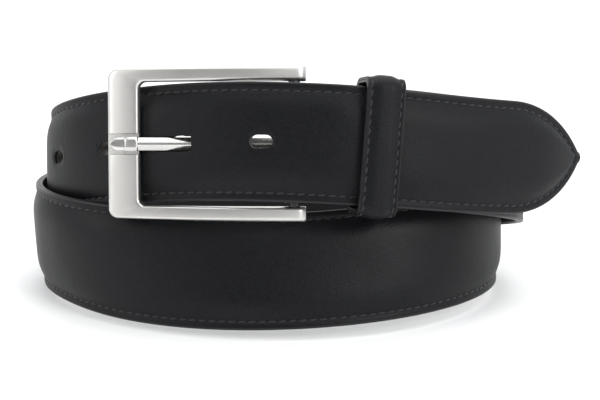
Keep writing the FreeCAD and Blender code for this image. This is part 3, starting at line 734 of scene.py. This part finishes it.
def prong_body():
    """Shank with two long bevels, a raised block at the front bar and a flat rounded tongue."""
    half, t = PRONG_WIDTH / 2.0, PRONG_THICKNESS / 2.0
    end = FRAME_LEFT - 1.5
    block_start = OPENING_END + 0.2
    block_end = OPENING_END + 3.9
    rings = []
    for x in np.linspace(2.2, block_start - 0.5, 26):
        rings.append((x, half, -t, t * 0.12, 0.42, t))
    rings.append((block_start - 0.12, half, -t, t * 0.14, 0.46, t + 0.02))
    rings.append((block_start + 0.1, half + 0.16, -t, t * 0.55, half * 0.62, t + 0.22))
    rings.append((block_start + 0.45, half + 0.2, -t, t * 0.62, half * 0.68, t + 0.30))
    rings.append((block_end - 0.45, half + 0.2, -t, t * 0.60, half * 0.68, t + 0.26))
    rings.append((block_end - 0.08, half + 0.14, -t, t * 0.45, half * 0.66, t + 0.10))
    rings.append((block_end + 0.22, half, -t, t * 0.16, half * 0.72, t - 0.62))
    length = end - block_end
    for share in (0.2, 0.4, 0.55, 0.68, 0.8, 0.89, 0.95, 0.985, 1.0):
        x = block_end + 0.3 + (length - 0.3) * share
        k = math.sqrt(max(1.0 - max(0.0, (share - 0.35) / 0.65) ** 2.4, 0.02))
        rings.append((x, max(half * k, 0.42), -t, t * 0.12 * k, half * 0.62 * k,
                      t * (0.50 - 0.10 * share) - 0.02))
    shank = loft(np.stack([prong_ring_section(*r) for r in rings]))
    inner = BAR_RADIUS + PRONG_BORE_CLEARANCE
    outer = BAR_RADIUS + (PRONG_BORE_CLEARANCE + PRONG_RING_WALL)
    half_ring = PRONG_RING_HALF_WIDTH
    profile = [(inner, -half_ring + 0.15), (inner + 0.15, -half_ring), (outer - 0.3, -half_ring),
               (outer - 0.08, -half_ring + 0.1), (outer, -half_ring + 0.35), (outer, half_ring - 0.35),
               (outer - 0.08, half_ring - 0.1), (outer - 0.3, half_ring), (inner + 0.15, half_ring),
               (inner, half_ring - 0.15)]
    turns = np.linspace(0.0, 2.0 * math.pi, 65)[:-1]
    r = np.array([p[0] for p in profile])[None, :]
    y = np.array([p[1] for p in profile])[None, :]
    ring = loft(in_frame(np.cos(turns)[:, None] * r, y, np.sin(turns)[:, None] * r), round_trip=True)
    return shank, ring


# ---- the keeper ----
def keeper_path():
    """Points and outward normals in (height, out) round the keeper's inside."""
    low, high = KEEPER_INSIDE
    c = KEEPER_CORNER
    h = KEEPER_HALF_HEIGHT
    points, normals = [], []

    def straight(a, b, normal, count):
        for k in np.linspace(0.0, 1.0, count + 2)[1:-1]:
            points.append((a[0] + (b[0] - a[0]) * k, a[1] + (b[1] - a[1]) * k))
            normals.append(normal)

    def corner(centre, start):
        for k in np.linspace(0.0, math.pi / 2.0, 13):
            d = (math.cos(start - k), math.sin(start - k))
            points.append((centre[0] + c * d[0], centre[1] + c * d[1]))
            normals.append(d)

    corner((-h + c, high - c), math.pi)
    straight((-h + c, high), (h - c, high), (0.0, 1.0), 44)
    corner((h - c, high - c), math.pi / 2.0)
    straight((h, high - c), (h, low + c), (1.0, 0.0), 8)
    corner((h - c, low + c), 0.0)
    straight((h - c, low), (-h + c, low), (0.0, -1.0), 44)
    corner((-h + c, low + c), -math.pi / 2.0)
    straight((-h, low + c), (-h, high - c), (-1.0, 0.0), 8)
    return np.array(points), np.array(normals)


def keeper_ring(profile, bulge=0.3):
    """Sweep (along the belt, off the inside) round the keeper."""
    path, normals = keeper_path()
    swell = bulge * (1.0 - (path[:, 0] / KEEPER_HALF_HEIGHT) ** 2) * (path[:, 1] > KEEPER_INSIDE[1] - 0.5)
    x = np.array([p[0] for p in profile])
    y = np.array([p[1] for p in profile])
    offset = y[None, :] + swell[:, None]
    height = path[:, 0:1] + normals[:, 0:1] * offset
    out = path[:, 1:2] + normals[:, 1:2] * offset
    rings = KEEPER_CENTRE + KEEPER_RUN * np.broadcast_to(x[None, :], height.shape)[..., None]
    return rings + KEEPER_UP * height[..., None] + KEEPER_OUT * out[..., None]


def keeper_face(x):
    """Height of the keeper's finished face over its margin."""
    half = KEEPER_WIDTH / 2.0
    share = np.minimum(1.0, np.abs(x) / (half - 1.7))
    inset = half - np.abs(x)
    return 0.72 * (1.0 - share ** 4) ** 2 - 0.16 * np.exp(-((inset - KEEPER_SEAM_MARGIN) / 0.3) ** 2)


def keeper_leather():
    """The keeper's crowned outer leather, open underneath for its padding."""
    half = KEEPER_WIDTH / 2.0
    insets = [0.25, 0.5, 0.8, 1.0, 1.15, 1.3, 1.45, 1.65, 1.9, 2.3, 2.9, 3.7]
    right = [half - i for i in insets]
    xs = [-x for x in right] + list(np.linspace(-1.4, 1.4, 5)) + right[::-1]
    top = KEEPER_BASE + KEEPER_SKIN
    edge = [(-half, KEEPER_BASE + 0.05), (-half - 0.03, top - 0.42), (-half + 0.03, top - 0.16),
            (-half + 0.11, top - 0.04)]
    profile = edge + [(x, top + float(keeper_face(x))) for x in xs] + [(-x, y) for x, y in reversed(edge)]
    profile += [(half - 2.0, KEEPER_BASE + 0.02), (half - 3.0, KEEPER_BASE + 0.32),
                (-half + 3.0, KEEPER_BASE + 0.32), (-half + 2.0, KEEPER_BASE + 0.02)]
    labels = [1] * 4 + [0] * (len(xs) - 1) + [1] * 4 + [2] * 5
    return loft(keeper_ring(profile), round_trip=True, column_material=labels)


def keeper_lining_layer():
    """The keeper's inner leather with rounded edges."""
    half = KEEPER_WIDTH / 2.0 - 0.02
    side = [(half - 0.22, 0.0), (half - 0.06, 0.06), (half, 0.22), (half, 0.6), (half - 0.1, 0.76)]
    profile = side + [(-x, y) for x, y in reversed(side)]
    labels = [1] * 4 + [0] + [1] * 4 + [0]
    return loft(keeper_ring(profile), round_trip=True, column_material=labels)


def keeper_seam(sign):
    """Places round the keeper along one of its long edges."""
    x = sign * (KEEPER_WIDTH / 2.0 - KEEPER_SEAM_MARGIN)
    y = KEEPER_BASE + KEEPER_SKIN + float(keeper_face(np.array(x)))
    path = keeper_ring([(x, y)])[:, 0, :]
    base = keeper_ring([(x, y - 1.0)])[:, 0, :]
    path = np.concatenate((path, path[:1]))
    base = np.concatenate((base, base[:1]))
    normals = unit(path - base)
    length = lengths_along(path)

    def place_at(d):
        d = d % length[-1]
        side = np.tile(KEEPER_RUN, (len(d), 1))
        return picked(d, length, path), side, unit(picked(d, length, normals))

    return place_at, float(length[-1])


# ---- materials ----
def new_material(name, roughness, metallic=0.0, specular=0.5):
    mat = bpy.data.materials.new(name)
    mat.use_nodes = True
    tree = mat.node_tree
    bsdf = tree.nodes["Principled BSDF"]
    bsdf.inputs["Roughness"].default_value = roughness
    bsdf.inputs["Metallic"].default_value = metallic
    bsdf.inputs["Specular IOR Level"].default_value = specular
    return mat, tree, bsdf


def node(tree, kind, **values):
    made = tree.nodes.new(kind)
    for key, value in values.items():
        if key in made.inputs:
            made.inputs[key].default_value = value
        else:
            setattr(made, key, value)
    return made


def ramp(tree, source, stops):
    made = tree.nodes.new("ShaderNodeValToRGB")
    elements = made.color_ramp.elements
    while len(elements) < len(stops):
        elements.new(0.5)
    for element, (position, colour) in zip(elements, stops):
        element.position = position
        element.color = (*colour, 1.0)
    tree.links.new(source, made.inputs["Fac"])
    return made.outputs["Color"]


def grey(v):
    return (v, v, v)


def leather_material(name, low, high, roughness, specular, grain=1.0):
    """Pebbled grain leather: small cells with creases between them, pores, and slow changes of finish. The
    base colour is slow random tone plus painted shade that darkens it towards the creases between the cells.
    """
    mat, tree, bsdf = new_material(name, roughness, specular=specular)
    links = tree.links
    where = node(tree, "ShaderNodeTexCoord").outputs["Object"]
    cells = node(tree, "ShaderNodeTexVoronoi", Scale=1450.0, Randomness=0.95, feature="SMOOTH_F1",
                 Smoothness=0.35)
    warp = node(tree, "ShaderNodeTexNoise", Scale=700.0, Detail=3.0)
    links.new(where, warp.inputs["Vector"])
    mixed = node(tree, "ShaderNodeVectorMath", operation="MULTIPLY_ADD")
    mixed.inputs[1].default_value = (0.0006, 0.0006, 0.0006)
    links.new(warp.outputs["Color"], mixed.inputs[0])
    links.new(where, mixed.inputs[2])
    links.new(mixed.outputs["Vector"], cells.inputs["Vector"])
    fine = node(tree, "ShaderNodeTexNoise", Scale=5200.0, Detail=3.0)
    links.new(where, fine.inputs["Vector"])
    slow = node(tree, "ShaderNodeTexNoise", Scale=38.0, Detail=3.0)
    links.new(where, slow.inputs["Vector"])
    height = node(tree, "ShaderNodeMath", operation="MULTIPLY_ADD")
    height.inputs[1].default_value = 0.25
    links.new(fine.outputs["Fac"], height.inputs[0])
    links.new(cells.outputs["Distance"], height.inputs[2])
    bump = node(tree, "ShaderNodeBump", Strength=0.55 * grain, Distance=0.00009)
    bump.invert = True
    links.new(height.outputs["Value"], bump.inputs["Height"])
    links.new(bump.outputs["Normal"], bsdf.inputs["Normal"])
    tone_and_crease_shade = node(tree, "ShaderNodeMath", operation="MULTIPLY_ADD")
    tone_and_crease_shade.inputs[1].default_value = 0.45
    links.new(slow.outputs["Fac"], tone_and_crease_shade.inputs[0])
    # painted shade: the cell distance darkens the base colour towards the creases between the grain cells
    scaled = node(tree, "ShaderNodeMath", operation="MULTIPLY")
    scaled.inputs[1].default_value = 0.7
    links.new(cells.outputs["Distance"], scaled.inputs[0])
    links.new(scaled.outputs["Value"], tone_and_crease_shade.inputs[2])
    links.new(ramp(tree, tone_and_crease_shade.outputs["Value"], [(0.25, high), (0.75, low)]), bsdf.inputs["Base Color"])
    gloss = ramp(tree, slow.outputs["Fac"], [(0.3, grey(roughness - 0.05)), (0.7, grey(roughness + 0.07))])
    links.new(gloss, bsdf.inputs["Roughness"])
    bsdf.inputs["Sheen Weight"].default_value = 0.01
    return mat


def edge_material():
    """Edge paint: smooth, rounded, slightly brushed along the strap."""
    mat, tree, bsdf = new_material("edge_paint", 0.42, specular=0.34)
    where = node(tree, "ShaderNodeTexCoord").outputs["Object"]
    noise = node(tree, "ShaderNodeTexNoise", Scale=620.0, Detail=4.0)
    tree.links.new(where, noise.inputs["Vector"])
    bump = node(tree, "ShaderNodeBump", Strength=0.35, Distance=0.00005)
    tree.links.new(noise.outputs["Fac"], bump.inputs["Height"])
    tree.links.new(bump.outputs["Normal"], bsdf.inputs["Normal"])
    colour = ramp(tree, noise.outputs["Fac"], [(0.3, (0.005, 0.005, 0.006)), (0.7, (0.011, 0.011, 0.013))])
    tree.links.new(colour, bsdf.inputs["Base Color"])
    gloss = ramp(tree, noise.outputs["Fac"], [(0.3, grey(0.34)), (0.7, grey(0.46))])
    tree.links.new(gloss, bsdf.inputs["Roughness"])
    return mat


def suede_material(name, low, high):
    """Flesh side of the leather or bonded felt: short fibres, no shine."""
    mat, tree, bsdf = new_material(name, 0.9, specular=0.2)
    where = node(tree, "ShaderNodeTexCoord").outputs["Object"]
    fibres = node(tree, "ShaderNodeTexNoise", Scale=2400.0, Detail=6.0, Distortion=1.5)
    tree.links.new(where, fibres.inputs["Vector"])
    bump = node(tree, "ShaderNodeBump", Strength=0.7, Distance=0.00012)
    tree.links.new(fibres.outputs["Fac"], bump.inputs["Height"])
    tree.links.new(bump.outputs["Normal"], bsdf.inputs["Normal"])
    tree.links.new(ramp(tree, fibres.outputs["Fac"], [(0.3, low), (0.7, high)]), bsdf.inputs["Base Color"])
    bsdf.inputs["Sheen Weight"].default_value = 0.25
    return mat


def thread_material():
    """Twisted waxed thread."""
    mat, tree, bsdf = new_material("waxed_thread", 0.5, specular=0.34)
    where = node(tree, "ShaderNodeTexCoord").outputs["Object"]
    twist = node(tree, "ShaderNodeTexWave", Scale=1500.0, Distortion=1.2)
    twist.bands_direction = "DIAGONAL"
    tree.links.new(where, twist.inputs["Vector"])
    bump = node(tree, "ShaderNodeBump", Strength=0.6, Distance=0.00008)
    tree.links.new(twist.outputs["Fac"], bump.inputs["Height"])
    tree.links.new(bump.outputs["Normal"], bsdf.inputs["Normal"])
    colour = ramp(tree, twist.outputs["Fac"], [(0.2, (0.005, 0.005, 0.006)), (0.8, (0.014, 0.014, 0.017))])
    tree.links.new(colour, bsdf.inputs["Base Color"])
    bsdf.inputs["Sheen Weight"].default_value = 0.15
    return mat


def nickel_material(name, colour, roughness, brushed=0.5, across=(1.0, 1.0, 9.0)):
    """Nickel plate: fine brush lines, faint cloudiness, soft small scratches."""
    mat, tree, bsdf = new_material(name, roughness, metallic=1.0)
    where = node(tree, "ShaderNodeTexCoord").outputs["Object"]
    stretch = node(tree, "ShaderNodeMapping")
    stretch.inputs["Scale"].default_value = across
    tree.links.new(where, stretch.inputs["Vector"])
    lines = node(tree, "ShaderNodeTexNoise", Scale=900.0, Detail=5.0, Roughness=0.65)
    tree.links.new(stretch.outputs["Vector"], lines.inputs["Vector"])
    cloud = node(tree, "ShaderNodeTexNoise", Scale=90.0, Detail=3.0)
    tree.links.new(where, cloud.inputs["Vector"])
    bump = node(tree, "ShaderNodeBump", Strength=0.10 * brushed, Distance=0.00004)
    tree.links.new(lines.outputs["Fac"], bump.inputs["Height"])
    tree.links.new(bump.outputs["Normal"], bsdf.inputs["Normal"])
    both = node(tree, "ShaderNodeMath", operation="MULTIPLY_ADD")
    both.inputs[1].default_value = 0.5
    tree.links.new(cloud.outputs["Fac"], both.inputs[0])
    half = node(tree, "ShaderNodeMath", operation="MULTIPLY")
    half.inputs[1].default_value = 0.5
    tree.links.new(lines.outputs["Fac"], half.inputs[0])
    tree.links.new(half.outputs["Value"], both.inputs[2])
    gloss = ramp(tree, both.outputs["Value"],
                 [(0.35, grey(roughness - 0.05)), (0.65, grey(roughness + 0.07))])
    tree.links.new(gloss, bsdf.inputs["Roughness"])
    darker = tuple(c * 0.93 for c in colour)
    tint = ramp(tree, cloud.outputs["Fac"], [(0.35, colour), (0.65, darker)])
    tree.links.new(tint, bsdf.inputs["Base Color"])
    return mat


GRAIN = leather_material("grained_leather", (0.0024, 0.0026, 0.0034), (0.0060, 0.0064, 0.0080), 0.46, 0.18)
LINING = leather_material("smooth_lining_leather", (0.006, 0.006, 0.007), (0.011, 0.011, 0.012), 0.62, 0.24,
                          grain=0.4)
EDGE = edge_material()
FLESH = suede_material("flesh_side", (0.007, 0.007, 0.006), (0.018, 0.017, 0.016))
FELT = suede_material("bonded_felt", (0.030, 0.027, 0.025), (0.075, 0.068, 0.060))
THREAD = thread_material()
SATIN = nickel_material("satin_nickel", (0.62, 0.61, 0.59), 0.36)
POLISHED = nickel_material("polished_nickel", (0.68, 0.67, 0.65), 0.27, brushed=0.25)
# near-black pin colour for the cross bar: painted shade at the bar, where the strap folds round it, not the
# steel's own colour
PIN_PAINTED_SHADE = nickel_material("pin_painted_shade", (0.07, 0.07, 0.07), 0.42, across=(1.0, 9.0, 1.0))
WIRE = nickel_material("drawn_wire", (0.50, 0.50, 0.51), 0.30, across=(1.0, 9.0, 1.0))


def finish_piece(obj, body, slot, *replaced):
    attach(obj, body)
    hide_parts(*replaced)


def add(name, part, body, slot, materials, *replaced):
    obj = mesh_object(name, part[0], part[1], material_of=part[2], materials=materials)
    finish_piece(obj, body, slot, *replaced)


# ---- the strap ----
holes = merged(hole_cutters())
way_out, slot_cut = passage_cutters()

leather = outer_leather()
strap = mesh_object("strap_leather", leather[0], leather[1], material_of=leather[2],
                    materials=(GRAIN, EDGE, FLESH))
boolean(strap, holes)
boolean(strap, way_out)
boolean(strap, slot_cut)
finish_piece(strap, "strap", "black_leather", "strap_outer_leather")

inner_leather = lining_layer()
lining = mesh_object("strap_lining_leather", inner_leather[0], inner_leather[1], material_of=inner_leather[2],
                     materials=(LINING, EDGE))
boolean(lining, holes)
boolean(lining, way_out)
boolean(lining, slot_cut)
finish_piece(lining, "strap", "lining_leather", "strap_lining")

for name, sign, replaced in (("upper", 1, "strap_stitching_upper"), ("lower", -1, "strap_stitching_lower")):
    place_at, length = edge_seam(sign)
    add("edge_stitches_" + name, stitches(place_at, length, STITCH_PITCH, seed=5 + sign),
        "strap", "black_thread", (THREAD,), replaced)

rows = []
for distance in (9.5, TURNED_END_LENGTH - 3.0):
    for sign in (1, -1):
        place_at, length = cross_seam(distance, sign)
        rows.append(stitches(place_at, length, STITCH_PITCH, first=0.1, seed=11))
add("turned_end_stitches", merged(rows), "strap", "black_thread", (THREAD,), "turned_end_stitching")

# ---- the buckle and the prong ----
add("buckle_frame_plated", frame_body(), "buckle", "satin_nickel", (SATIN, POLISHED), "buckle_frame")
shank, ring = prong_body()
prong = mesh_object("prong_plated", shank[0], shank[1], materials=(POLISHED,))
boolean(prong, ring, "UNION", cut_material=0)
finish_piece(prong, "prong", "polished_nickel", "prong")

# ---- the keeper ----
add("keeper_leather", keeper_leather(), "keeper", "black_leather", (GRAIN, EDGE, FLESH),
    "keeper_outer_leather")
add("keeper_lining_leather", keeper_lining_layer(), "keeper", "lining_leather", (LINING, EDGE),
    "keeper_lining")
for name, sign in (("left", -1), ("right", 1)):
    place_at, length = keeper_seam(sign)
    count = round(length / 2.75)
    row = stitches(place_at, length, length / count, stitch=2.1, first=0.3, seed=17 + sign)
    add("keeper_stitches_" + name, row, "keeper", "black_thread", (THREAD,), "keeper_stitching_" + name)

# ---- the carried-over CAD pieces ----
# the cross bar takes the near-black pin colour, painted shade
for name, material in (("strap_padding_core", FELT), ("keeper_padding", FELT), ("buckle_cross_bar", PIN_PAINTED_SHADE),
                       ("keeper_staple", WIRE)):
    mesh = NODES[name].data
    if len(mesh.materials):
        for k in range(len(mesh.materials)):
            mesh.materials[k] = material
    else:
        mesh.materials.append(material)

# ---- floor, light and camera ----
floor_mesh = bpy.data.meshes.new("floor")
floor_mesh.from_pydata([(-8, -8, 0), (8, -8, 0), (8, 8, 0), (-8, 8, 0)], [], [(0, 1, 2, 3)])
floor = bpy.data.objects.new("floor", floor_mesh)
bpy.context.scene.collection.objects.link(floor)
floor_material, _, floor_bsdf = new_material("pale_floor", 0.75, specular=0.1)
floor_bsdf.inputs["Base Color"].default_value = (0.93, 0.93, 0.93, 1.0)
floor.data.materials.append(floor_material)


def area_light(name, place, target, size, power):
    data = bpy.data.lights.new(name, "AREA")
    data.shape = "RECTANGLE"
    data.size, data.size_y = size
    data.energy = power
    obj = bpy.data.objects.new(name, data)
    obj.location = place
    obj.rotation_euler = (Vector(target) - Vector(place)).to_track_quat("-Z", "Y").to_euler()
    bpy.context.scene.collection.objects.link(obj)


area_light("overhead", (0.10, -0.05, 1.1), (0.0, 0.0, 0.0), (1.4, 1.0), 7.0)
area_light("key_right", (0.80, -0.85, 0.60), (0.0, 0.0, 0.04), (0.5, 0.5), 7.0)
area_light("fill_left", (-1.0, -0.55, 0.45), (0.0, 0.0, 0.04), (0.6, 0.6), 3.0)

world_settings = bpy.data.worlds.new("studio")
bpy.context.scene.world = world_settings
world_settings.use_nodes = True
background = world_settings.node_tree.nodes["Background"]
background.inputs["Color"].default_value = (0.98, 0.99, 1.0, 1.0)
sky = world_settings.node_tree
direction = node(sky, "ShaderNodeTexCoord").outputs["Generated"]
toward_back = node(sky, "ShaderNodeVectorMath", operation="DOT_PRODUCT")
toward_back.inputs[1].default_value = (0.10, 0.68, 0.10)
strength = node(sky, "ShaderNodeMath", operation="ADD")
strength.inputs[1].default_value = 0.93
sky.links.new(direction, toward_back.inputs[0])
sky.links.new(toward_back.outputs["Value"], strength.inputs[0])
sky.links.new(strength.outputs["Value"], background.inputs["Strength"])

camera_data = bpy.data.cameras.new("camera")
camera_data.lens = 66.0
camera_data.sensor_width = 36.0
camera = bpy.data.objects.new("camera", camera_data)
view_from = world(np.array((10.42, -382.06, 19.38)))
camera.location = view_from
camera.rotation_euler = (math.radians(90.0 - 13.53), 0.0, 0.0)
bpy.context.scene.collection.objects.link(camera)
bpy.context.scene.camera = camera
bpy.context.scene.view_settings.view_transform = "Standard"
